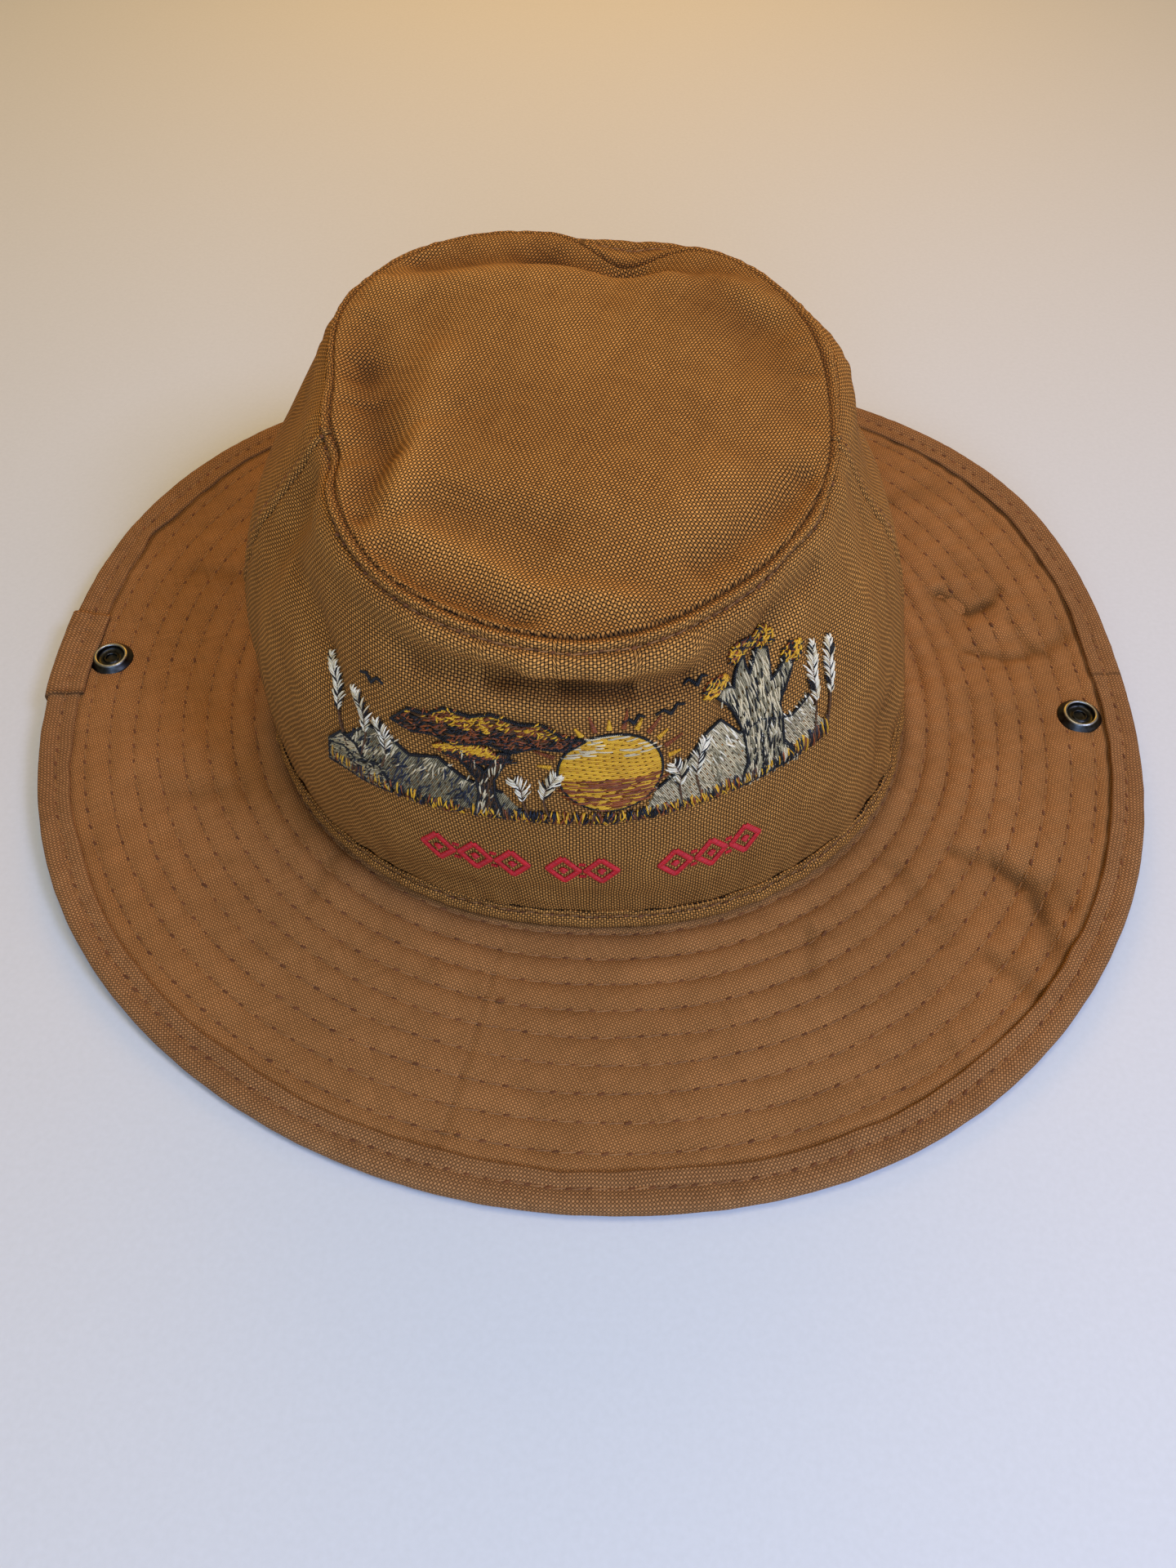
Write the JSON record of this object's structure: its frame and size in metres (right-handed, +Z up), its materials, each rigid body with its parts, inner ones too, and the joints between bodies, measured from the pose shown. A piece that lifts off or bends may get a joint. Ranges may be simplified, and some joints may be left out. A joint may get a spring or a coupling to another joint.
{
  "type": "safari sun hat",
  "caption": "Soft sun hat in brown canvas: a rounded crown with a seamed tip, a stitched brim that rests almost flat, a taped rim and press fasteners at the sides.",
  "frame": {"origin": "middle of the hat's box, on the surface that the brim rests on", "axes": "+Z up out of the tip, -Y the front of the hat, +X to the right when the front is looked at"},
  "size_m": [0.3236, 0.3278, 0.1136],
  "materials": {
    "canvas": "matt plain-woven cotton canvas",
    "tape": "matt bias tape of the same canvas",
    "snap_metal": "dark antique brass, worn bright on the edges"
  },
  "bodies": {
    "root": {"crown_tip": "canvas", "crown_side_front": "canvas", "crown_side_back": "canvas", "crown_band": "canvas", "brim_top": "canvas", "brim_under": "canvas", "rim_binding": "tape", "snap_left": "snap_metal", "snap_right": "snap_metal"}
  },
  "joints": []
}
